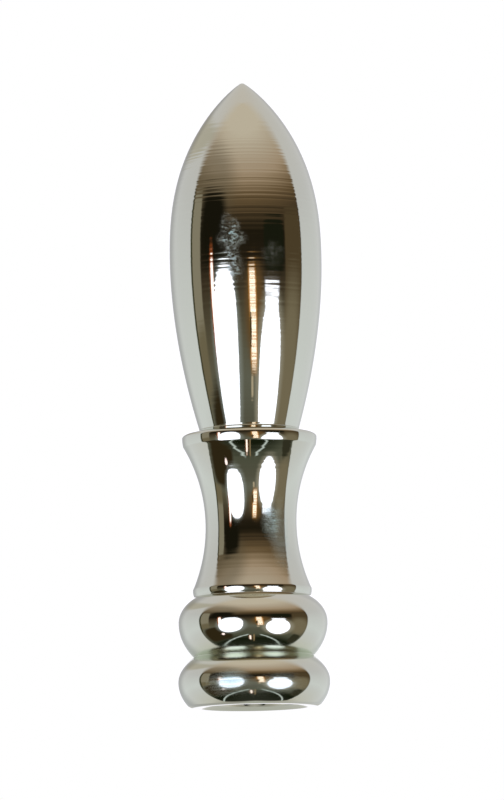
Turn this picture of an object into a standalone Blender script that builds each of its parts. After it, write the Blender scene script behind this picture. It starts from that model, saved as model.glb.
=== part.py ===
"""A turned lamp finial: a pointed bullet that stands in a flared spool above two rounded rings.

One piece, turned from one bar and nickel plated. Metres, +Z up through the point. The origin is the
centre of the flat underside, which has a tapped hole for the lamp's stud.
"""

import math

import bpy

NAME = "finial"
MM = 0.001

# Overall height, from the flat underside to the point
HEIGHT = 50.8 * MM

# Bullet: a pointed upper half and a longer taper below its widest place
BULLET_RADIUS = 6.174 * MM
BULLET_WIDEST_Z = 36.15 * MM
BULLET_FULLNESS = 2.463
POINT_BLUNTNESS = 1.177
TAPER_END_RADIUS = 4.018 * MM
TAPER_END_Z = 22.40 * MM
TAPER_CURVE = 1.857

# Rim of the spool: a cone that falls away from the foot of the bullet, a rolled edge, and a barrel-shaped
# band
SHOULDER_RADIUS = 5.02 * MM
SHOULDER_Z = 22.10 * MM
SHOULDER_DEPTH = 0.8 * MM
RIM_RADIUS = 5.448 * MM
RIM_Z = 21.74 * MM
RIM_BAND_HEIGHT = 0.69 * MM
RIM_BAND_DROP = 0.08 * MM

# Spool: a hollow sweep that is narrowest at the waist
WAIST_RADIUS = 3.683 * MM
WAIST_Z = 14.76 * MM

# Foot of the spool: a narrow rounded bead that sits on the upper ring
FOOT_RADIUS = 4.80 * MM
FOOT_WIDEST_Z = 9.40 * MM
FOOT_RISE = 0.12 * MM
FOOT_RISE_DROP = 0.006 * MM
FOOT_FALL = 0.50 * MM
FOOT_FALL_DROP = 0.10 * MM

# Two rings, each an egg-shaped section that is widest at its own height, with a groove between them
UPPER_RING_RADIUS = 6.011 * MM
UPPER_RING_Z = 6.814 * MM
UPPER_RING_DEPTH = 3.972 * MM
GROOVE_RADIUS = 4.79 * MM
GROOVE_Z = 4.09 * MM
LOWER_RING_RADIUS = 6.119 * MM
LOWER_RING_Z = 2.053 * MM
LOWER_RING_DEPTH = 5.292 * MM

# Underside: a flat ring round a shallow dish, with its outer edge just broken
FACE_RADIUS = 5.06 * MM
FACE_EDGE_HEIGHT = 0.14 * MM
FACE_EDGE_WIDTH = 0.28 * MM
DISH_RADIUS = 4.3 * MM
DISH_SLOPE = math.radians(15)

# Blind tapped hole for a quarter inch stud with 27 threads to the inch, its mouth countersunk
THREAD_DIAMETER = 6.35 * MM
THREAD_PITCH = 25.4 / 27 * MM
THREAD_ENGAGEMENT = 0.65
FULL_THREAD = 1.299
HOLE_DEPTH = 9.5 * MM
DRILL_POINT_ANGLE = math.radians(118)
COUNTERSINK_RADIUS = 3.3 * MM
COUNTERSINK_ANGLE = math.radians(90)
CUTTER_OVERRUN = 0.2 * MM

# Corners of the profile, as (radius, height), from the bullet's foot down to the underside
SHOULDER = (SHOULDER_RADIUS, SHOULDER_Z)
RIM = (RIM_RADIUS, RIM_Z)
BAND_END = (RIM_RADIUS - RIM_BAND_DROP, RIM_Z - RIM_BAND_HEIGHT)
WAIST = (WAIST_RADIUS, WAIST_Z)
FOOT_TOP = (FOOT_RADIUS - FOOT_RISE_DROP, FOOT_WIDEST_Z + FOOT_RISE)
FOOT = (FOOT_RADIUS, FOOT_WIDEST_Z)
FOOT_SEAT = (FOOT_RADIUS - FOOT_FALL_DROP, FOOT_WIDEST_Z - FOOT_FALL)
UPPER_RING = (UPPER_RING_RADIUS, UPPER_RING_Z)
GROOVE = (GROOVE_RADIUS, GROOVE_Z)
LOWER_RING = (LOWER_RING_RADIUS, LOWER_RING_Z)
FACE_EDGE = (FACE_RADIUS + FACE_EDGE_WIDTH, FACE_EDGE_HEIGHT)

# Fineness of the facets: sides round the axis, and steps along each stretch of the profile
SIDES = 64
BULLET_TOP_STEPS = 16
POINT_CROWDING = 1.7
TAPER_STEPS = 9
SHOULDER_STEPS = 4
BEAD_STEPS = 2
SWEEP_STEPS = 7
RING_STEPS = 5
WELD = 0.001 * MM
SHARP_ANGLE = math.radians(28)

NICKEL = (0.66, 0.65, 0.61, 1.0)
NICKEL_ROUGHNESS = 0.08


def clear_scene():
    for old in list(bpy.data.objects):
        bpy.data.objects.remove(old)


def new_collection(name):
    made = bpy.data.collections.new(name)
    bpy.context.scene.collection.children.link(made)
    return made


def flank(widest, end, steps, depth=None):
    """Points (radius, height) from widest to end, both included, on a quarter of an ellipse.

    The curve runs straight up the turning axis at widest. Its centre lies depth inside widest, or
    outside it for a hollow. With no depth it is the arc of a circle through both points.
    """
    drop = widest[0] - end[0]
    run = end[1] - widest[1]
    if depth is None:
        depth = (run**2 + drop**2) / (2 * drop)
    last = math.acos(1 - drop / depth)
    half_height = run / math.sin(last)
    turns = [last * i / steps for i in range(steps + 1)]
    return [
        (widest[0] - depth * (1 - math.cos(a)), widest[1] + half_height * math.sin(a)) for a in turns
    ]


def downwards(points):
    return sorted(points, key=lambda point: -point[1])


def bullet_top():
    """From the point down to the widest place: radius = R (1 - t^fullness)^(1 / bluntness).

    t runs from 1 at the point to 0 at the widest place, with closer steps near the point.
    """
    length = HEIGHT - BULLET_WIDEST_Z
    points = []
    for i in range(BULLET_TOP_STEPS + 1):
        t = 1 - (i / BULLET_TOP_STEPS) ** POINT_CROWDING
        radius = BULLET_RADIUS * (1 - t**BULLET_FULLNESS) ** (1 / POINT_BLUNTNESS)
        points.append((radius, BULLET_WIDEST_Z + length * t))
    return points


def bullet_taper():
    """From below the widest place down to the rim, narrowing by a power of the way gone."""
    length = BULLET_WIDEST_Z - TAPER_END_Z
    narrowing = BULLET_RADIUS - TAPER_END_RADIUS
    return [
        (BULLET_RADIUS - narrowing * t**TAPER_CURVE, BULLET_WIDEST_Z - length * t)
        for t in (i / TAPER_STEPS for i in range(1, TAPER_STEPS + 1))
    ]


def spool_outline():
    """The rim's shoulder and band, the hollow sweep to the waist and out again, and the foot."""
    outline = downwards(flank(RIM, SHOULDER, SHOULDER_STEPS, SHOULDER_DEPTH))
    outline += flank(RIM, BAND_END, BEAD_STEPS)[1:]
    outline += downwards(flank(WAIST, BAND_END, SWEEP_STEPS))[1:]
    outline += flank(WAIST, FOOT_TOP, SWEEP_STEPS)[1:]
    outline += downwards(flank(FOOT, FOOT_TOP, BEAD_STEPS))[1:]
    outline += flank(FOOT, FOOT_SEAT, BEAD_STEPS)[1:]
    return outline


def rings_outline():
    """Each ring swells from the corner above it to its widest and falls to the corner below it."""
    outline = downwards(flank(UPPER_RING, FOOT_SEAT, RING_STEPS, UPPER_RING_DEPTH))[1:]
    outline += flank(UPPER_RING, GROOVE, RING_STEPS, UPPER_RING_DEPTH)[1:]
    outline += downwards(flank(LOWER_RING, GROOVE, RING_STEPS, LOWER_RING_DEPTH))[1:]
    outline += flank(LOWER_RING, FACE_EDGE, RING_STEPS, LOWER_RING_DEPTH)[1:]
    return outline


def finial_outline():
    """The whole outer profile, from the point to the centre of the underside."""
    underside = [(FACE_RADIUS, 0.0), (0.0, 0.0)]
    return bullet_top() + bullet_taper() + spool_outline() + rings_outline() + underside


def hole_outline():
    """The drill's point, the bore, the countersink and the dish, which runs on below the underside."""
    bore = (THREAD_DIAMETER - THREAD_ENGAGEMENT * FULL_THREAD * THREAD_PITCH) / 2
    point = bore / math.tan(DRILL_POINT_ANGLE / 2)
    dish_depth = (DISH_RADIUS - COUNTERSINK_RADIUS) * math.tan(DISH_SLOPE)
    sink_depth = (COUNTERSINK_RADIUS - bore) / math.tan(COUNTERSINK_ANGLE / 2)
    return [
        (0.0, HOLE_DEPTH + point),
        (bore, HOLE_DEPTH),
        (bore, dish_depth + sink_depth),
        (COUNTERSINK_RADIUS, dish_depth),
        (DISH_RADIUS + CUTTER_OVERRUN / math.tan(DISH_SLOPE), -CUTTER_OVERRUN),
        (0.0, -CUTTER_OVERRUN),
    ]


def turned(name, outline, collection):
    """An object whose outline, drawn at +X, is swept once round Z."""
    mesh = bpy.data.meshes.new(name)
    links = [(i, i + 1) for i in range(len(outline) - 1)]
    mesh.from_pydata([(radius, 0.0, height) for radius, height in outline], links, [])
    obj = bpy.data.objects.new(name, mesh)
    collection.objects.link(obj)
    lathe = obj.modifiers.new("lathe", "SCREW")
    lathe.axis = "Z"
    lathe.angle = math.tau
    lathe.steps = SIDES
    lathe.render_steps = SIDES
    lathe.use_merge_vertices = True
    lathe.merge_threshold = WELD
    return obj


def drill(obj, cutter):
    cutter.hide_render = True
    cutter.display_type = "WIRE"
    cut = obj.modifiers.new("tapped hole", "BOOLEAN")
    cut.operation = "DIFFERENCE"
    cut.solver = "EXACT"
    cut.object = cutter


def apply_modifiers(obj):
    """Gives the object the mesh that its modifiers make, smooth except at its corners."""
    bpy.context.view_layer.update()
    graph = bpy.context.evaluated_depsgraph_get()
    mesh = bpy.data.meshes.new_from_object(obj.evaluated_get(graph))
    obj.modifiers.clear()
    obj.data = mesh
    mesh.shade_smooth()
    mesh.set_sharp_from_angle(angle=SHARP_ANGLE)


def polished_nickel():
    material = bpy.data.materials.new("polished nickel plate")
    material.use_nodes = True
    shader = material.node_tree.nodes["Principled BSDF"]
    shader.inputs["Base Color"].default_value = NICKEL
    shader.inputs["Metallic"].default_value = 1.0
    shader.inputs["Roughness"].default_value = NICKEL_ROUGHNESS
    return material


def main():
    clear_scene()
    parts = new_collection(NAME)
    cutters = new_collection(NAME + " cutters")
    finial = turned(NAME, finial_outline(), parts)
    drill(finial, turned("tapped_hole", hole_outline(), cutters))
    apply_modifiers(finial)
    finial.data.materials.clear()
    finial.data.materials.append(polished_nickel())


main()
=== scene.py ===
"""A nickel plated finial on a pale floor, in soft studio light.

The finial is one turned surface: a profile swept round Z, with the fine rings that a lathe leaves in it,
a right-hand thread in its hole, and the corners softened as plating softens them. Metres, +Z up.
"""

import math
from collections import namedtuple

import bpy
import numpy as np
from mathutils import Matrix, Vector


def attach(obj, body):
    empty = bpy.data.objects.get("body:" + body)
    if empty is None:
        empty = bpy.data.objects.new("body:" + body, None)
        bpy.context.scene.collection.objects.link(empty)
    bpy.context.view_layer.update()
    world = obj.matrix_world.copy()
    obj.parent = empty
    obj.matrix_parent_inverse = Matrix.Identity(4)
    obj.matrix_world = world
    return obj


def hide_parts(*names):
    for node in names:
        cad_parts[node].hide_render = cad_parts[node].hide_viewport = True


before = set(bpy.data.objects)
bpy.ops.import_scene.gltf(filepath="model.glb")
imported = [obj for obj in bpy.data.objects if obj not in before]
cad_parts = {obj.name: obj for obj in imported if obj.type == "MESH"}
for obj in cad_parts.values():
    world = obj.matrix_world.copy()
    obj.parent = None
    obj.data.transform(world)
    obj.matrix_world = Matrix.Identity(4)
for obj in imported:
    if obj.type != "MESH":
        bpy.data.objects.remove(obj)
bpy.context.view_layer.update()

MM = 0.001

# The profile's own sizes, the same as those of the solid it dresses
HEIGHT = 50.8 * MM
BULLET_RADIUS = 6.174 * MM
BULLET_WIDEST_Z = 36.15 * MM
BULLET_FULLNESS = 2.463
POINT_BLUNTNESS = 1.177
TAPER_END_RADIUS = 4.018 * MM
TAPER_END_Z = 22.40 * MM
TAPER_CURVE = 1.857
SHOULDER = (5.02 * MM, 22.10 * MM)
SHOULDER_DEPTH = 0.8 * MM
RIM_RADIUS = 5.448 * MM
RIM_Z = 21.74 * MM
RIM_BAND_HEIGHT = 0.69 * MM
RIM_BAND_DROP = 0.08 * MM
WAIST = (3.683 * MM, 14.76 * MM)
FOOT_RADIUS = 4.80 * MM
FOOT_WIDEST_Z = 9.40 * MM
FOOT_RISE = 0.12 * MM
FOOT_RISE_DROP = 0.006 * MM
FOOT_FALL = 0.50 * MM
FOOT_FALL_DROP = 0.10 * MM
UPPER_RING = (6.011 * MM, 6.814 * MM)
UPPER_RING_DEPTH = 3.972 * MM
GROOVE = (4.79 * MM, 4.09 * MM)
LOWER_RING = (6.119 * MM, 2.053 * MM)
LOWER_RING_DEPTH = 5.292 * MM
FACE_RADIUS = 5.06 * MM
FACE_EDGE_HEIGHT = 0.14 * MM
FACE_EDGE_WIDTH = 0.28 * MM
DISH_RADIUS = 4.3 * MM
DISH_SLOPE = math.radians(15)

# Tapped hole: a quarter inch stud with 27 threads to the inch, in a 60 degree thread form
THREAD_RADIUS = 3.175 * MM
THREAD_PITCH = 25.4 / 27 * MM
BORE_RADIUS = 2.778 * MM
THREAD_FLANK_ANGLE = math.radians(30)
THREAD_ROOT_FLAT = THREAD_PITCH / 8
THREAD_END_Z = 7.9 * MM
THREAD_RUN_OUT = 0.9 * MM
HOLE_DEPTH = 9.5 * MM
DRILL_POINT_ANGLE = math.radians(118)
COUNTERSINK_RADIUS = 3.3 * MM

# Fineness of the surface: points along each curve of the profile, then the mesh's sides and rows, and how
# far apart its rows are
FLANK_POINTS = 400
BULLET_TOP_POINTS = 1500
TAPER_POINTS = 900
FINE_STEP = 0.012 * MM
SIDES = 94
ROWS = 1000
BULLET_SPACING = 0.052 * MM
PLAIN_SPACING = 0.115 * MM
HOLE_SPACING = 0.11 * MM
TURN_PER_ROW = math.radians(2.5)
CORNER_SOFTNESS = 0.035 * MM
SHARP_ANGLE = math.radians(40)
# A bell curve is cut off at this many of its widths
BELL_CUT = 4
# How much more a point's radius counts than its height when the face's edge is looked for
RADIUS_WEIGHT = 10

# Lathe rings: how wide a ring is, and how far their slopes lean by height, as (millimetres, degrees)
RING_WIDTH = 0.030 * MM
RING_LEANS = (
    (9.7, 0.0), (10.2, 0.9), (13.4, 0.9), (14.6, 0.35), (17.5, 0.35), (19.0, 0.8), (20.6, 0.8),
    (20.9, 0.0), (22.5, 0.0), (23.0, 0.15), (31.0, 0.22), (34.0, 0.25), (37.5, 0.6), (40.0, 1.1),
    (41.5, 1.6), (44.5, 1.4), (47.0, 0.8), (49.3, 0.0),
)
# The slopes are held level over this many ring widths
LEVELLING = 4
RING_SEED = 4
# Deeper tool marks: height on the bullet, depth
MARK_WIDTH = 0.10 * MM
TOOL_MARKS = (
    (41.90 * MM, 0.0032 * MM),
    (35.92 * MM, 0.0040 * MM),
    (35.45 * MM, 0.0026 * MM),
    (34.90 * MM, 0.0020 * MM),
    (33.55 * MM, 0.0026 * MM),
    (33.15 * MM, 0.0020 * MM),
    (32.00 * MM, 0.0016 * MM),
)

# What stands round the finial, in degrees as seen from it: azimuth 0 is towards the camera's side and 90
# is +X. Colours are as the plate shows them. Each panel is laid over those before it. Its squareness is
# how far its corners fill out, where 2 is an ellipse, and its edge is how soft its border is. Its lean is
# how far its azimuth moves for each degree up, its cover is how opaque it is, and its ripple is how far
# apart the slats in front of it are.
Panel = namedtuple(
    "Panel",
    "azimuth elevation half_width half_height squareness edge colour brightness lean cover ripple",
    defaults=(1.0, 0.0, 1.0, 0.0),
)
ROOM_BY_ELEVATION = (
    (-90, "#a3a294"),
    (-83, "#8f8e80"),
    (-77, "#2c2e25"),
    (-50, "#13180a"),
    (-44, "#35382a"),
    (-38, "#4a4c3c"),
    (-26, "#504f40"),
    (-18, "#5b5c4d"),
    (-10, "#544f3c"),
    (1, "#3a3122"),
    (6, "#221c11"),
    (12, "#1a160c"),
    (20, "#443724"),
    (26, "#604e34"),
    (34, "#88755a"),
    (38, "#9a876d"),
    (52, "#aa9d86"),
    (65, "#b8ae98"),
)
TENT_BY_ELEVATION = (
    (-90, "#a3a294"),
    (-72, "#8f8e80"),
    (-64, "#9c9a8a"),
    (-48, "#b8b8aa"),
    (-20, "#bfc2bb"),
    (-10, "#c4c9c2"),
    (20, "#b7b8b2"),
    (80, "#b9b4a7"),
)
BACKDROP_BY_ELEVATION = ((-90, "#9fa294"), (-9, "#a3a597"), (-4, "#d9dbd5"), (3, "#ffffff"))
# The tent covers all that is further round from this middle than its edge. Its border spreads, by so many
# degrees, from one of these elevations to the other.
TENT_MIDDLE = 1.1
TENT_EDGE = 92.7
BORDER_ELEVATIONS = (24.0, 75.0)
BORDER_SPREADS = (1.0, 30.0)
# Folds of the tent: the azimuths where each starts and is deepest, and how deep its shade is there. Folds
# and backdrop fade in downwards over their top, and the backdrop fades in over its sides too.
TENT_FOLDS = ((-130.0, -157.0, 0.42), (143.0, 158.0, 0.20))
FOLD_COLOUR = "#4a4c46"
FOLD_TOP = (52.0, 28.0)
BACKDROP_SIDES = (166.0, 175.0)
BACKDROP_TOP = (58.0, 40.0)
ROOM_PANELS = (
    Panel(-60, 34, 42, 17, 2, 1.0, "#4f4c3c", cover=0.5),
    Panel(-51, 16.5, 20.5, 11, 3.5, 0.65, "#15130a"),
    Panel(44, 9.5, 16, 6.5, 5, 0.25, "#16180d"),
    Panel(78, 0, 15.5, 18.5, 6, 0.2, "#483c27"),
    Panel(78, -14, 17, 16, 2.5, 0.8, "#6f664e"),
    Panel(82, -39, 9, 9, 4, 0.4, "#2f2e20"),
    Panel(-62, -30, 24, 15, 5, 0.3, "#2c2413"),
    Panel(-80.5, 8, 8.0, 16, 6, 0.3, "#7d7762"),
    Panel(-80.5, -9.5, 8.0, 5.0, 6, 0.8, "#675f47"),
    Panel(-89.8, 2, 1.5, 22, 6, 0.3, "#35351f"),
    Panel(13, -5.5, 14, 10, 2, 0.9, "#5e4626"),
    Panel(-35, -14, 25, 19, 2, 0.4, "#74786e"),
    Panel(41, -19.5, 27, 19, 2, 0.4, "#87826f"),
    Panel(-53.4, -4, 3.3, 12.5, 4, 0.4, "#9c5226"),
    Panel(-52.9, -5, 2.1, 11.5, 4, 0.3, "#fff4e8", 1.5),
    Panel(8.2, -19.6, 2.0, 1.9, 6, 0.5, "#a5987c"),
    Panel(10.2, -6.3, 5.9, 10.0, 7, 0.4, "#b9803a", lean=-0.15),
    Panel(10.2, -6.3, 4.3, 9.6, 8, 0.3, "#fff4dc", 1.6, lean=-0.15, ripple=1.5),
    Panel(6.0, -9.5, 1.6, 3.6, 3, 0.4, "#46391f"),
    Panel(-35.8, -12.9, 20.2, 17.4, 2.4, 0.05, "#f4f8ff", 1.5, lean=0.10),
    Panel(41.2, -19.5, 20.6, 17.5, 2, 0.05, "#f4f8ff", 1.5),
    Panel(40.3, -3.2, 11.0, 1.1, 6, 0.2, "#f4f8ff", 1.5),
    Panel(40.3, -1.2, 11.2, 0.45, 6, 0.3, "#f4f8ff", 1.6),
    Panel(40.3, 0.2, 11.4, 0.50, 6, 0.3, "#f4f8ff", 1.8),
    Panel(-53.7, -32.5, 2.8, 2.3, 2, 0.4, "#ffe9e0", 1.3),
    Panel(-6, -48, 3.4, 6.5, 2, 0.5, "#8c5c34"),
    Panel(-6, -48, 1.7, 5.5, 3, 0.4, "#fff3e4", 1.3),
    Panel(1.5, -49, 1.4, 9, 4, 0.5, "#84704e"),
)
TENT_PANELS = (
    Panel(-124, 37, 16, 17, 2, 0.9, "#a5a18f", lean=2.0),
)
# Slats hide a panel where the sine of their wave is below the first value, and not above the second
SLAT_RANGE = (-0.7, 0.3)
# A thin pale line low in front: the azimuth and elevation of its middle, how far it falls for each degree
# to either side, how much more to the right, its half width, and the gap at its middle with its soft ends
LINE_MIDDLE = (2.0, -37.6)
LINE_FALL = 0.27
LINE_SKEW = 0.03
LINE_WIDTH = 1.8
LINE_GAP = 11.0
LINE_GAP_FADE = 3.0
LINE_COLOUR = "#bcc7bc"

# The plate, and how it is in the groove between the rings, where the buffing wheel doesn't reach
PLATE_COLOUR = "#d0d3c8"
GROOVE_COLOUR = "#ced5c3"
BUFFED_ROUGHNESS = 0.05
UNBUFFED_ROUGHNESS = 0.25
UNBUFFED_REACH = 1.1 * MM
# Lathe lines that are too fine for the mesh, 0.11 mm apart, and slow waves about a millimetre long
LATHE_LINES_PER_MM = 9.0
LATHE_LINES_PER_RADIAN = 0.8
LATHE_LINE_DEPTH = 0.0005 * MM
WAVES_PER_METRE = 900.0
WAVE_DEPTH = 0.0025 * MM

# Dried film, in flecks about 0.4 mm wide and flattened, coarser than real ones so that they show. Of each
# noise, what is below its range leaves the least film and what is above it the most.
FILM_COLOUR = "#7bbfd0"
FILM_ROUGHNESS = 0.45
FLECKS_PER_METRE = 2600.0
FLECK_FLATNESS = 1.7
FLECK_ROUGHNESS = 0.72
FLECK_RANGE = (0.42, 0.64)
FLECK_LEAST = 0.05
STREAK_RANGE = (0.36, 0.64)
STREAK_LEAST = 0.45
# A smudge fades in between these shares of its half sizes
SMUDGE_FADE = (1.25, 0.3)

# Smears of dried film: turn round the axis from the front, in degrees, height, and half sizes
Smudge = namedtuple("Smudge", "turn height half_turn half_height strength")
SMUDGES = (
    Smudge(-11.5, 38.15 * MM, 8.0, 0.70 * MM, 0.45),
    Smudge(-10.5, 37.15 * MM, 11.0, 0.75 * MM, 0.54),
    Smudge(-10.5, 36.00 * MM, 6.0, 0.65 * MM, 0.43),
    Smudge(-8.0, 34.80 * MM, 6.5, 1.10 * MM, 0.36),
    Smudge(-14.0, 38.90 * MM, 4.5, 0.40 * MM, 0.18),
    Smudge(21.0, 35.90 * MM, 9.0, 1.00 * MM, 0.10),
    Smudge(26.0, 14.60 * MM, 13.0, 1.60 * MM, 0.16),
)
# Thinner haze that is wiped along the lathe lines, given in the same way
HAZES = (
    Smudge(26.0, 14.70 * MM, 13.0, 1.50 * MM, 0.24),
    Smudge(38.0, 13.60 * MM, 15.0, 2.80 * MM, 0.20),
    Smudge(-15.0, 2.10 * MM, 12.0, 0.70 * MM, 0.26),
    Smudge(-24.0, 1.60 * MM, 16.0, 0.95 * MM, 0.24),
    Smudge(22.0, 1.60 * MM, 16.0, 0.90 * MM, 0.16),
    Smudge(0.0, 1.30 * MM, 40.0, 0.80 * MM, 0.10),
)

# Camera, looking slightly up at the finial from a little below its underside
CAMERA_DISTANCE = 454 * MM
CAMERA_HEIGHT = -30 * MM
CAMERA_PITCH = math.radians(6.8866)
CAMERA_YAW = math.radians(-0.0354)
CAMERA_ROLL = math.radians(-1.171)
CAMERA_CLIP = (0.01, 5.0)
# Focal length in millimetres, where the picture's longer side is 36 mm
LENS = 255.0

# Floor, in metres. It fades into the white behind it between these distances from the finial
FLOOR_HALF = 1.6
FLOOR_GAP = 0.02 * MM
FLOOR_FADE = (0.25, 0.75)
FLOOR_COLOUR = "#e9e8e4"

# A soft lamp over the floor, in metres and watts
LAMP_PLACE = (0.25, -0.35, 1.1)
LAMP_SIZE = 0.8
LAMP_POWER = 14.0

# Sockets of a Mix node that mixes colours
MASK, BELOW, ABOVE, MIXED = 0, 6, 7, 2


def linear(colour):
    """The linear red, green, blue and alpha of an sRGB hex colour."""
    parts = [int(colour[i : i + 2], 16) / 255 for i in (1, 3, 5)]
    return tuple(c / 12.92 if c <= 0.04045 else ((c + 0.055) / 1.055) ** 2.4 for c in parts) + (1.0,)


def add_node(tree, kind, inputs=None, **settings):
    """Adds a node, gives it its settings, then sets or links each input by its name or number."""
    made = tree.nodes.new("ShaderNode" + kind)
    for name, value in settings.items():
        setattr(made, name, value)
    for key, value in (inputs or {}).items():
        if isinstance(value, bpy.types.Node):
            value = value.outputs[0]
        if isinstance(value, bpy.types.NodeSocket):
            tree.links.new(value, made.inputs[key])
        else:
            made.inputs[key].default_value = value
    return made


def flank(widest, end, depth=None):
    """Radius and height from widest to end on a quarter of an ellipse, as two arrays.

    The curve runs straight up the axis at widest, and its centre lies depth inside widest, or outside it
    for a hollow. With no depth it is the arc of a circle through both points.
    """
    drop = widest[0] - end[0]
    run = end[1] - widest[1]
    if depth is None:
        depth = (run**2 + drop**2) / (2 * drop)
    last = math.acos(1 - drop / depth)
    angle = np.linspace(0.0, last, FLANK_POINTS)
    radius = widest[0] - depth * (1 - np.cos(angle))
    return np.stack([radius, widest[1] + run / math.sin(last) * np.sin(angle)])


def bullet():
    """From the point down to the rim.

    Above the widest place the radius is R (1 - t^fullness)^(1 / bluntness), with t from 1 at the point to
    0 at the widest place. Below it the radius narrows by a power of the way gone.
    """
    t = 1 - np.linspace(0.0, 1.0, BULLET_TOP_POINTS) ** 2
    radius = BULLET_RADIUS * (1 - t**BULLET_FULLNESS) ** (1 / POINT_BLUNTNESS)
    top = np.stack([radius, BULLET_WIDEST_Z + (HEIGHT - BULLET_WIDEST_Z) * t])
    t = np.linspace(0.0, 1.0, TAPER_POINTS)[1:]
    radius = BULLET_RADIUS - (BULLET_RADIUS - TAPER_END_RADIUS) * t**TAPER_CURVE
    taper = np.stack([radius, BULLET_WIDEST_Z - (BULLET_WIDEST_Z - TAPER_END_Z) * t])
    return np.hstack([top, taper])


def spool():
    """The rim's shoulder and band, the hollow sweep in to the waist and out again, and the foot."""
    rim = (RIM_RADIUS, RIM_Z)
    band_end = (RIM_RADIUS - RIM_BAND_DROP, RIM_Z - RIM_BAND_HEIGHT)
    foot = (FOOT_RADIUS, FOOT_WIDEST_Z)
    foot_top = (FOOT_RADIUS - FOOT_RISE_DROP, FOOT_WIDEST_Z + FOOT_RISE)
    parts = [
        flank(rim, SHOULDER, SHOULDER_DEPTH)[:, ::-1],
        flank(rim, band_end),
        flank(WAIST, band_end)[:, ::-1],
        flank(WAIST, foot_top),
        flank(foot, foot_top)[:, ::-1],
        flank(foot, (FOOT_RADIUS - FOOT_FALL_DROP, FOOT_WIDEST_Z - FOOT_FALL)),
    ]
    return np.hstack(parts)


def rings():
    """Each ring swells from the corner above it to its widest and falls to the corner below it."""
    seat = (FOOT_RADIUS - FOOT_FALL_DROP, FOOT_WIDEST_Z - FOOT_FALL)
    face_edge = (FACE_RADIUS + FACE_EDGE_WIDTH, FACE_EDGE_HEIGHT)
    parts = [
        flank(UPPER_RING, seat, UPPER_RING_DEPTH)[:, ::-1],
        flank(UPPER_RING, GROOVE, UPPER_RING_DEPTH),
        flank(LOWER_RING, GROOVE, LOWER_RING_DEPTH)[:, ::-1],
        flank(LOWER_RING, face_edge, LOWER_RING_DEPTH),
    ]
    return np.hstack(parts)


def underside():
    """The flat ring, the dish, the countersink, the straight bore and the drill's point, in to the axis."""
    point = BORE_RADIUS / math.tan(DRILL_POINT_ANGLE / 2)
    dish_depth = (DISH_RADIUS - COUNTERSINK_RADIUS) * math.tan(DISH_SLOPE)
    corners = [
        (FACE_RADIUS, 0.0),
        (DISH_RADIUS, 0.0),
        (COUNTERSINK_RADIUS, dish_depth),
        (BORE_RADIUS, dish_depth + COUNTERSINK_RADIUS - BORE_RADIUS),
        (BORE_RADIUS, HOLE_DEPTH),
        (0.0, HOLE_DEPTH + point),
    ]
    return np.array(corners).T


def distances(outline):
    """The distance along the outline to each of its points."""
    return np.concatenate([[0.0], np.cumsum(np.hypot(*np.diff(outline, axis=1)))])


def at_distances(outline, places):
    """The points of the outline at these distances along it."""
    along = distances(outline)
    return np.stack([np.interp(places, along, outline[0]), np.interp(places, along, outline[1])])


def bell_span(reach):
    """How many steps a bell curve of this width goes to either side before it is cut off."""
    return int(BELL_CUT * reach)


def blurred(values, reach):
    """The values averaged with their neighbours under a bell curve whose width is reach, in steps."""
    steps = np.arange(-bell_span(reach), bell_span(reach) + 1)
    bell = np.exp(-0.5 * (steps / reach) ** 2)
    return np.convolve(values, bell / bell.sum(), mode="valid")


def softened(outline):
    """The outline in even fine steps, with its corners rounded by averaging each point with those near it.

    Past either end the outline is carried on as its mirror image across the axis, so that the point
    comes out blunt and stays on the axis.
    """
    even = at_distances(outline, np.arange(0.0, distances(outline)[-1], FINE_STEP))
    reach = CORNER_SOFTNESS / FINE_STEP
    more = bell_span(reach)
    across = np.array([[-1.0], [1.0]])
    before = even[:, more:0:-1] * across
    after = even[:, -2 : -2 - more : -1] * across
    long = np.hstack([before, even, after])
    soft = np.stack([blurred(long[0], reach), blurred(long[1], reach)])
    soft[0, [0, -1]] = 0.0
    return soft


def spaced_rows(outline):
    """Points of the outline for the mesh's rows, closer where it bends and where it is finely ringed.

    The hole is all that comes after the face's edge, the low point whose radius is the face's. It also
    gives how far along the outline each row is.
    """
    step = np.gradient(outline, axis=1)
    direction = np.unwrap(np.arctan2(step[1], step[0]))
    bend = np.abs(np.gradient(direction))
    off_edge = outline[1] + RADIUS_WEIGHT * np.abs(outline[0] - FACE_RADIUS)
    in_hole = np.arange(outline.shape[1]) > np.argmin(off_edge)
    spacing = np.where(outline[1] > RIM_Z, BULLET_SPACING, PLAIN_SPACING)
    spacing = np.where(in_hole, HOLE_SPACING, spacing)
    need = np.cumsum(FINE_STEP / spacing + bend / TURN_PER_ROW)
    places = np.interp(np.linspace(need[0], need[-1], ROWS), need, np.arange(len(need)))
    rows = np.stack([np.interp(places, np.arange(len(need)), line) for line in outline])
    return rows, distances(outline)[-1] * places / (len(need) - 1)


def lathe_rings(outline):
    """How far each point of the fine outline stands out, from the feed of the tool and from deeper marks.

    The rings are a smoothed run of seeded random slopes, added up along the outline and held level. A
    mark is a bell-shaped hollow.
    """
    count = outline.shape[1]
    rng = np.random.default_rng(RING_SEED)
    reach = RING_WIDTH / FINE_STEP
    slopes = blurred(rng.normal(size=count + 2 * bell_span(reach)), reach)
    level = LEVELLING * reach
    slopes -= blurred(np.pad(slopes, bell_span(level), mode="edge"), level)
    heights, leans = np.array(RING_LEANS).T
    leans = np.radians(np.interp(outline[1], heights * MM, leans))
    stand = np.cumsum(slopes / slopes.std() * leans) * FINE_STEP
    for mark_height, depth in TOOL_MARKS:
        stand -= depth * np.exp(-(((outline[1] - mark_height) / MARK_WIDTH) ** 2))
    return stand


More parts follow.
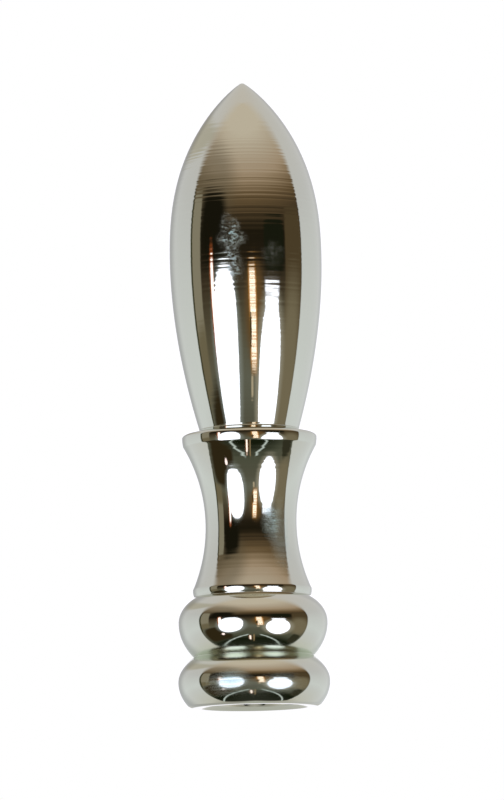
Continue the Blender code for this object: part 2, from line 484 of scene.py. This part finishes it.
def ringed(outline):
    """The outline moved out along its own normal by the lathe's rings."""
    step = np.gradient(outline, axis=1)
    normal = np.stack([-step[1], step[0]]) / np.hypot(*step)
    return outline + normal * lathe_rings(outline)


def threaded(radius, height, turn, in_hole):
    """The radius in the hole with the thread cut in it.

    The cut is deepest midway along each pitch of a right-hand helix, flat at its root, and shallows by
    the flank's angle on both sides. It fades out before the hole's end.
    """
    place = height / THREAD_PITCH - turn / math.tau
    off_root = np.abs(place - np.round(place)) * THREAD_PITCH - THREAD_ROOT_FLAT / 2
    full = THREAD_RADIUS - BORE_RADIUS
    cut = np.clip(full - off_root / math.tan(THREAD_FLANK_ANGLE), 0.0, full)
    cut = cut * np.clip((THREAD_END_Z - height) / THREAD_RUN_OUT, 0.0, 1.0)
    return np.where(in_hole & (height < THREAD_END_Z), np.maximum(radius, BORE_RADIUS + cut), radius)


def swept(rows, along):
    """The mesh of the rows swept once round Z: x = r cos a, y = r sin a, closed at both ends by a point.

    Each of its points keeps its distance along the profile, in millimetres, for the lathe's faint lines.
    """
    turn = np.arange(SIDES) / SIDES * math.tau
    radius, height = rows[0, 1:-1, None], rows[1, 1:-1, None]
    in_hole = (np.arange(ROWS - 2) > np.argmin(rows[1]))[:, None]
    radius = threaded(radius, height, turn[None, :], in_hole)
    grid = np.stack(
        [radius * np.cos(turn), radius * np.sin(turn), np.broadcast_to(height, radius.shape)], axis=-1
    )
    points = np.vstack([[0, 0, rows[1, 0]], grid.reshape(-1, 3), [0, 0, rows[1, -1]]])
    number = 1 + np.arange((ROWS - 2) * SIDES).reshape(ROWS - 2, SIDES)
    beside = np.roll(number, -1, axis=1)
    quads = np.stack([number[:-1], number[1:], beside[1:], beside[:-1]], axis=-1).reshape(-1, 4)
    first = np.stack([np.zeros(SIDES, int), number[0], beside[0]], axis=-1)
    last = np.stack([np.full(SIDES, len(points) - 1), beside[-1], number[-1]], axis=-1)
    mesh = bpy.data.meshes.new("finial")
    mesh.from_pydata(points, [], [*first.tolist(), *quads.tolist(), *last.tolist()])
    mesh.shade_smooth()
    mesh.set_sharp_from_angle(angle=SHARP_ANGLE)
    measure = mesh.attributes.new("along", "FLOAT", "POINT")
    far = np.concatenate([along[:1], np.repeat(along[1:-1], SIDES), along[-1:]]) / MM
    measure.data.foreach_set("value", far.astype(np.float32))
    return mesh


def turn_from_front(tree, parts):
    """The angle round Z of a place or a direction, from -Y towards +X: atan2(x, -y)."""
    backward = add_node(tree, "Math", {0: parts["Y"], 1: -1.0}, operation="MULTIPLY")
    return add_node(tree, "Math", {0: parts["X"], 1: backward}, operation="ARCTAN2")


def smears(tree, turn, height, smudges):
    """How thick the film lies: each smudge is strongest in its middle and fades out past its half sizes."""
    total = 0.0
    for smudge in smudges:
        across = add_node(tree, "Math", {0: turn, 1: math.radians(smudge.turn)}, operation="SUBTRACT")
        across = add_node(tree, "Math", {0: across, 1: math.radians(smudge.half_turn)}, operation="DIVIDE")
        up = add_node(tree, "Math", {0: height, 1: smudge.height}, operation="SUBTRACT")
        up = add_node(tree, "Math", {0: up, 1: smudge.half_height}, operation="DIVIDE")
        off = add_node(tree, "CombineXYZ", {0: across, 1: up})
        away = add_node(tree, "VectorMath", {0: off}, operation="LENGTH").outputs["Value"]
        ends = {"From Min": SMUDGE_FADE[0], "From Max": SMUDGE_FADE[1], "To Max": smudge.strength}
        mask = add_node(tree, "MapRange", {"Value": away, **ends}, interpolation_type="SMOOTHSTEP")
        total = add_node(tree, "Math", {0: total, 1: mask}, operation="ADD")
    return total


def lathe_lines(tree, turn):
    """Faint lines round the axis: a noise that changes fast along the profile and slowly round it."""
    along = add_node(tree, "Attribute", attribute_name="along").outputs["Fac"]
    place = add_node(tree, "CombineXYZ", {0: along, 1: turn})
    scale = (LATHE_LINES_PER_MM, LATHE_LINES_PER_RADIAN, 1.0)
    place = add_node(tree, "Mapping", {"Vector": place, "Scale": scale})
    return add_node(tree, "TexNoise", {"Vector": place, "Scale": 1.0, "Detail": 2.0}, noise_dimensions="2D")


def dried_film(tree, where, turn, height, lines):
    """How much film covers the plate: flecks in the smudges, plus haze that is wiped along the lines."""
    flat = add_node(tree, "Mapping", {"Vector": where, "Scale": (1.0, 1.0, FLECK_FLATNESS)})
    noise = {"Vector": flat, "Scale": FLECKS_PER_METRE, "Detail": 4.0, "Roughness": FLECK_ROUGHNESS}
    grain = add_node(tree, "TexNoise", noise)
    ends = {"From Min": FLECK_RANGE[0], "From Max": FLECK_RANGE[1], "To Min": FLECK_LEAST}
    flecks = add_node(tree, "MapRange", {"Value": grain, **ends}, interpolation_type="SMOOTHSTEP")
    smudged = smears(tree, turn, height, SMUDGES)
    smudged = add_node(tree, "Math", {0: smudged, 1: flecks}, operation="MULTIPLY")
    ends = {"From Min": STREAK_RANGE[0], "From Max": STREAK_RANGE[1], "To Min": STREAK_LEAST}
    streaks = add_node(tree, "MapRange", {"Value": lines, **ends})
    film = {0: smears(tree, turn, height, HAZES), 1: streaks, 2: smudged}
    return add_node(tree, "Math", film, operation="MULTIPLY_ADD", use_clamp=True)


def polished_nickel():
    """Nickel plate over turned and buffed brass: a warm grey mirror with the faint lines of the lathe.

    Smears of dried film lie on it here and there, bluish and rough, and it is duller in the groove.
    """
    material = bpy.data.materials.new("nickel plate on turned brass, buffed")
    material.use_nodes = True
    tree = material.node_tree
    shader = tree.nodes["Principled BSDF"]
    where = add_node(tree, "TexCoord").outputs["Object"]
    parts = add_node(tree, "SeparateXYZ", {"Vector": where}).outputs
    turn = turn_from_front(tree, parts)

    lines = lathe_lines(tree, turn)
    waves = add_node(tree, "TexNoise", {"Vector": where, "Scale": WAVES_PER_METRE, "Detail": 1.0})
    waved = add_node(tree, "Bump", {"Height": waves, "Distance": WAVE_DEPTH, "Strength": 1.0})
    lined = {"Height": lines, "Distance": LATHE_LINE_DEPTH, "Strength": 1.0, "Normal": waved}
    tree.links.new(add_node(tree, "Bump", lined).outputs[0], shader.inputs["Normal"])

    off = add_node(tree, "Math", {0: parts["Z"], 1: GROOVE[1]}, operation="SUBTRACT")
    off = add_node(tree, "Math", {0: off}, operation="ABSOLUTE")
    unbuffed = add_node(tree, "MapRange", {"Value": off, "From Min": UNBUFFED_REACH, "From Max": 0.0},
                        interpolation_type="SMOOTHSTEP")
    film = dried_film(tree, where, turn, parts["Z"], lines)
    colours = {MASK: unbuffed, BELOW: linear(PLATE_COLOUR), ABOVE: linear(GROOVE_COLOUR)}
    plate = add_node(tree, "Mix", colours, data_type="RGBA").outputs[MIXED]
    colours = {MASK: film, BELOW: plate, ABOVE: linear(FILM_COLOUR)}
    seen = add_node(tree, "Mix", colours, data_type="RGBA").outputs[MIXED]
    tree.links.new(seen, shader.inputs["Base Color"])
    bare = add_node(tree, "Math", {0: 1.0, 1: film}, operation="SUBTRACT")
    tree.links.new(bare.outputs[0], shader.inputs["Metallic"])
    ends = {"To Min": BUFFED_ROUGHNESS, "To Max": UNBUFFED_ROUGHNESS}
    plain = add_node(tree, "MapRange", {"Value": unbuffed, **ends})
    rough = add_node(tree, "Math", {0: film, 1: FILM_ROUGHNESS, 2: plain}, operation="MULTIPLY_ADD")
    tree.links.new(rough.outputs[0], shader.inputs["Roughness"])
    return material


def directions(tree):
    """A direction's azimuth and elevation, in degrees, and its share of the way from down to up."""
    way = add_node(tree, "TexCoord").outputs["Generated"]
    parts = add_node(tree, "SeparateXYZ", {"Vector": way}).outputs
    azimuth = add_node(tree, "Math", {0: turn_from_front(tree, parts)}, operation="DEGREES")
    elevation = add_node(tree, "Math", {0: parts["Z"]}, operation="ARCSINE")
    elevation = add_node(tree, "Math", {0: elevation}, operation="DEGREES")
    share = add_node(tree, "MapRange", {"Value": elevation, "From Min": -90.0, "From Max": 90.0})
    return azimuth, elevation, share


def by_elevation(tree, share, stops):
    """The colour at each elevation, where share runs from 0 straight down to 1 straight up."""
    node = add_node(tree, "ValToRGB", {"Fac": share})
    ramp = node.color_ramp
    while len(ramp.elements) > 1:
        ramp.elements.remove(ramp.elements[-1])
    for elevation, colour in stops:
        place = (elevation + 90) / 180
        stop = ramp.elements[0] if elevation == stops[0][0] else ramp.elements.new(place)
        stop.position = place
        stop.color = linear(colour)
    return node


def panel_mask(tree, azimuth, elevation, panel):
    """How far the panel covers: (|across| / w)^n + (|up| / h)^n < 1, with a soft edge."""
    up = add_node(tree, "Math", {0: elevation, 1: panel.elevation}, operation="SUBTRACT")
    across = add_node(tree, "Math", {0: azimuth, 1: panel.azimuth}, operation="SUBTRACT")
    across = add_node(tree, "Math", {0: up, 1: -panel.lean, 2: across}, operation="MULTIPLY_ADD")
    total = 0.0
    for off, half in ((across, panel.half_width), (up, panel.half_height)):
        share = add_node(tree, "Math", {0: off, 1: half}, operation="DIVIDE")
        size = add_node(tree, "Math", {0: share}, operation="ABSOLUTE")
        raised = add_node(tree, "Math", {0: size, 1: panel.squareness}, operation="POWER")
        total = add_node(tree, "Math", {0: total, 1: raised}, operation="ADD")
    reach = add_node(tree, "Math", {0: total, 1: 1 / panel.squareness}, operation="POWER")
    ends = {"From Min": 1 + panel.edge / 2, "From Max": 1 - panel.edge / 2, "To Max": panel.cover}
    mask = add_node(tree, "MapRange", {"Value": reach, **ends}, interpolation_type="SMOOTHSTEP")
    if panel.ripple:
        wave = add_node(tree, "Math", {0: elevation, 1: math.tau / panel.ripple}, operation="MULTIPLY")
        wave = add_node(tree, "Math", {0: wave}, operation="SINE")
        ends = {"From Min": SLAT_RANGE[0], "From Max": SLAT_RANGE[1]}
        wave = add_node(tree, "MapRange", {"Value": wave, **ends})
        mask = add_node(tree, "Math", {0: mask, 1: wave}, operation="MULTIPLY")
    return mask


def with_panels(tree, azimuth, elevation, seen, panels):
    """The colour seen in each direction once the panels are laid over it, one after another."""
    for panel in panels:
        bright = tuple(c * panel.brightness for c in linear(panel.colour)[:3]) + (1.0,)
        colours = {MASK: panel_mask(tree, azimuth, elevation, panel), BELOW: seen, ABOVE: bright}
        seen = add_node(tree, "Mix", colours, data_type="RGBA").outputs[MIXED]
    return seen


def line_mask(tree, azimuth, elevation):
    """How far the pale line covers: where up + fall |across| + skew across is near its middle's elevation.

    It leaves out a gap round its middle.
    """
    across = add_node(tree, "Math", {0: azimuth, 1: LINE_MIDDLE[0]}, operation="SUBTRACT")
    aside = add_node(tree, "Math", {0: across}, operation="ABSOLUTE")
    fall = add_node(tree, "Math", {0: across, 1: LINE_SKEW, 2: elevation}, operation="MULTIPLY_ADD")
    fall = add_node(tree, "Math", {0: aside, 1: LINE_FALL, 2: fall}, operation="MULTIPLY_ADD")
    off = add_node(tree, "Math", {0: fall, 1: LINE_MIDDLE[1]}, operation="SUBTRACT")
    off = add_node(tree, "Math", {0: off}, operation="ABSOLUTE")
    line = add_node(tree, "MapRange", {"Value": off, "From Min": LINE_WIDTH, "From Max": 0.0},
                    interpolation_type="SMOOTHSTEP")
    ends = {"From Min": LINE_GAP - LINE_GAP_FADE, "From Max": LINE_GAP + LINE_GAP_FADE}
    outside = add_node(tree, "MapRange", {"Value": aside, **ends}, interpolation_type="SMOOTHSTEP")
    return add_node(tree, "Math", {0: line, 1: outside}, operation="MULTIPLY")


def tent_colours(tree, azimuth, elevation, share):
    """The pale tent by elevation, shaded in its folds, with the backdrop in its middle, white higher up."""
    tent = by_elevation(tree, share, TENT_BY_ELEVATION)
    tent = with_panels(tree, azimuth, elevation, tent, TENT_PANELS)
    ends = {"From Min": FOLD_TOP[0], "From Max": FOLD_TOP[1]}
    low = add_node(tree, "MapRange", {"Value": elevation, **ends}, interpolation_type="SMOOTHSTEP")
    for start, deepest, shade in TENT_FOLDS:
        ends = {"From Min": start, "From Max": deepest, "To Max": shade}
        fold = add_node(tree, "MapRange", {"Value": azimuth, **ends}, interpolation_type="SMOOTHSTEP")
        fold = add_node(tree, "Math", {0: fold, 1: low}, operation="MULTIPLY")
        colours = {MASK: fold, BELOW: tent, ABOVE: linear(FOLD_COLOUR)}
        tent = add_node(tree, "Mix", colours, data_type="RGBA").outputs[MIXED]

    aside = add_node(tree, "Math", {0: azimuth}, operation="ABSOLUTE")
    ends = {"From Min": BACKDROP_SIDES[0], "From Max": BACKDROP_SIDES[1]}
    behind = add_node(tree, "MapRange", {"Value": aside, **ends}, interpolation_type="SMOOTHSTEP")
    ends = {"From Min": BACKDROP_TOP[0], "From Max": BACKDROP_TOP[1]}
    below_top = add_node(tree, "MapRange", {"Value": elevation, **ends}, interpolation_type="SMOOTHSTEP")
    behind = add_node(tree, "Math", {0: behind, 1: below_top}, operation="MULTIPLY")
    colours = {MASK: behind, BELOW: tent, ABOVE: by_elevation(tree, share, BACKDROP_BY_ELEVATION)}
    return add_node(tree, "Mix", colours, data_type="RGBA").outputs[MIXED]


def tent_mask(tree, azimuth, elevation):
    """How far the tent covers: all that is past its border, which spreads out with elevation."""
    ends = {"From Min": BORDER_ELEVATIONS[0], "From Max": BORDER_ELEVATIONS[1],
            "To Min": BORDER_SPREADS[0], "To Max": BORDER_SPREADS[1]}
    spread = add_node(tree, "MapRange", {"Value": elevation, **ends})
    near = add_node(tree, "Math", {0: TENT_EDGE, 1: spread}, operation="SUBTRACT")
    far = add_node(tree, "Math", {0: TENT_EDGE, 1: spread}, operation="ADD")
    aside = add_node(tree, "Math", {0: azimuth, 1: TENT_MIDDLE}, operation="SUBTRACT")
    aside = add_node(tree, "Math", {0: aside}, operation="ABSOLUTE")
    ends = {"From Min": near, "From Max": far}
    return add_node(tree, "MapRange", {"Value": aside, **ends}, interpolation_type="SMOOTHSTEP")


def studio():
    """The world that the plate mirrors: a dim room in front with its lights, and a pale tent behind.

    Its colours are given as the plate shows them, so they are divided by the plate's own colour. The
    camera itself sees plain white.
    """
    world = bpy.data.worlds.new("soft studio")
    bpy.context.scene.world = world
    world.use_nodes = True
    tree = world.node_tree
    tree.nodes.clear()
    azimuth, elevation, share = directions(tree)
    room = by_elevation(tree, share, ROOM_BY_ELEVATION)
    room = with_panels(tree, azimuth, elevation, room, ROOM_PANELS)
    colours = {MASK: line_mask(tree, azimuth, elevation), BELOW: room, ABOVE: linear(LINE_COLOUR)}
    room = add_node(tree, "Mix", colours, data_type="RGBA").outputs[MIXED]
    tent = tent_colours(tree, azimuth, elevation, share)
    colours = {MASK: tent_mask(tree, azimuth, elevation), BELOW: room, ABOVE: tent}
    seen = add_node(tree, "Mix", colours, data_type="RGBA").outputs[MIXED]

    gain = tuple(1 / part for part in linear(PLATE_COLOUR)[:3])
    lit = add_node(tree, "VectorMath", {0: seen, 1: gain}, operation="MULTIPLY")
    mirrored = add_node(tree, "Background", {"Color": lit, "Strength": 1.0})
    plain = add_node(tree, "Background", {"Color": (1.0, 1.0, 1.0, 1.0), "Strength": 1.0})
    ray = add_node(tree, "LightPath").outputs["Is Camera Ray"]
    mixed = add_node(tree, "MixShader", {0: ray, 1: mirrored, 2: plain})
    tree.links.new(mixed.outputs[0], add_node(tree, "OutputWorld").inputs["Surface"])


def floor():
    """A pale floor just under the finial that fades out all round. It doesn't show from below."""
    corners = [(x * FLOOR_HALF, y * FLOOR_HALF, -FLOOR_GAP) for x, y in ((-1, -1), (1, -1), (1, 1), (-1, 1))]
    mesh = bpy.data.meshes.new("floor")
    mesh.from_pydata(corners, [], [(0, 1, 2, 3)])
    sheet = bpy.data.objects.new("floor", mesh)
    bpy.context.scene.collection.objects.link(sheet)
    material = bpy.data.materials.new("matt white card")
    material.use_nodes = True
    tree = material.node_tree
    tree.nodes.clear()
    card = add_node(tree, "BsdfDiffuse", {"Color": linear(FLOOR_COLOUR)})
    clear = add_node(tree, "BsdfTransparent")
    side = add_node(tree, "NewGeometry").outputs["Backfacing"]
    where = add_node(tree, "TexCoord").outputs["Object"]
    away = add_node(tree, "VectorMath", {0: where}, operation="LENGTH").outputs["Value"]
    ends = {"From Min": FLOOR_FADE[0], "From Max": FLOOR_FADE[1]}
    far = add_node(tree, "MapRange", {"Value": away, **ends}, interpolation_type="SMOOTHSTEP")
    hidden = add_node(tree, "Math", {0: side, 1: far}, operation="MAXIMUM")
    mixed = add_node(tree, "MixShader", {0: hidden, 1: card, 2: clear})
    tree.links.new(mixed.outputs[0], add_node(tree, "OutputMaterial").inputs["Surface"])
    mesh.materials.append(material)
    sheet.visible_glossy = False


def soft_lamp(name, place, size, power):
    """A square lamp that lights the floor, turned to the finial. The plate doesn't mirror it."""
    lamp = bpy.data.lights.new(name, "AREA")
    lamp.size = size
    lamp.energy = power
    made = bpy.data.objects.new(name, lamp)
    bpy.context.scene.collection.objects.link(made)
    made.location = place
    made.rotation_euler = (-Vector(place)).to_track_quat("-Z", "Y").to_euler()
    made.visible_glossy = False
    made.visible_camera = False


def camera():
    """The camera of the photograph: far off, a little low, and leaning so the finial's top goes left."""
    lens = bpy.data.cameras.new("camera")
    lens.lens = LENS
    lens.clip_start, lens.clip_end = CAMERA_CLIP
    made = bpy.data.objects.new("camera", lens)
    bpy.context.scene.collection.objects.link(made)
    place = Matrix.Translation((0.0, -CAMERA_DISTANCE, CAMERA_HEIGHT))
    turn = Matrix.Rotation(CAMERA_YAW, 4, "Z") @ Matrix.Rotation(math.pi / 2 + CAMERA_PITCH, 4, "X")
    made.matrix_world = place @ turn @ Matrix.Rotation(CAMERA_ROLL, 4, "Z")
    bpy.context.scene.camera = made


def main():
    """Sets up the camera, the studio and the floor, and puts the turned finial in place of the solid."""
    camera()
    studio()
    floor()
    soft_lamp("overhead lamp", LAMP_PLACE, LAMP_SIZE, LAMP_POWER)
    bpy.context.scene.view_settings.view_transform = "Standard"

    outline = ringed(softened(np.hstack([bullet(), spool(), rings(), underside()])))
    finial = bpy.data.objects.new("turned_finial", swept(*spaced_rows(outline)))
    bpy.context.scene.collection.objects.link(finial)
    finial.data.materials.append(polished_nickel())
    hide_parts("finial")
    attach(finial, "root")


main()
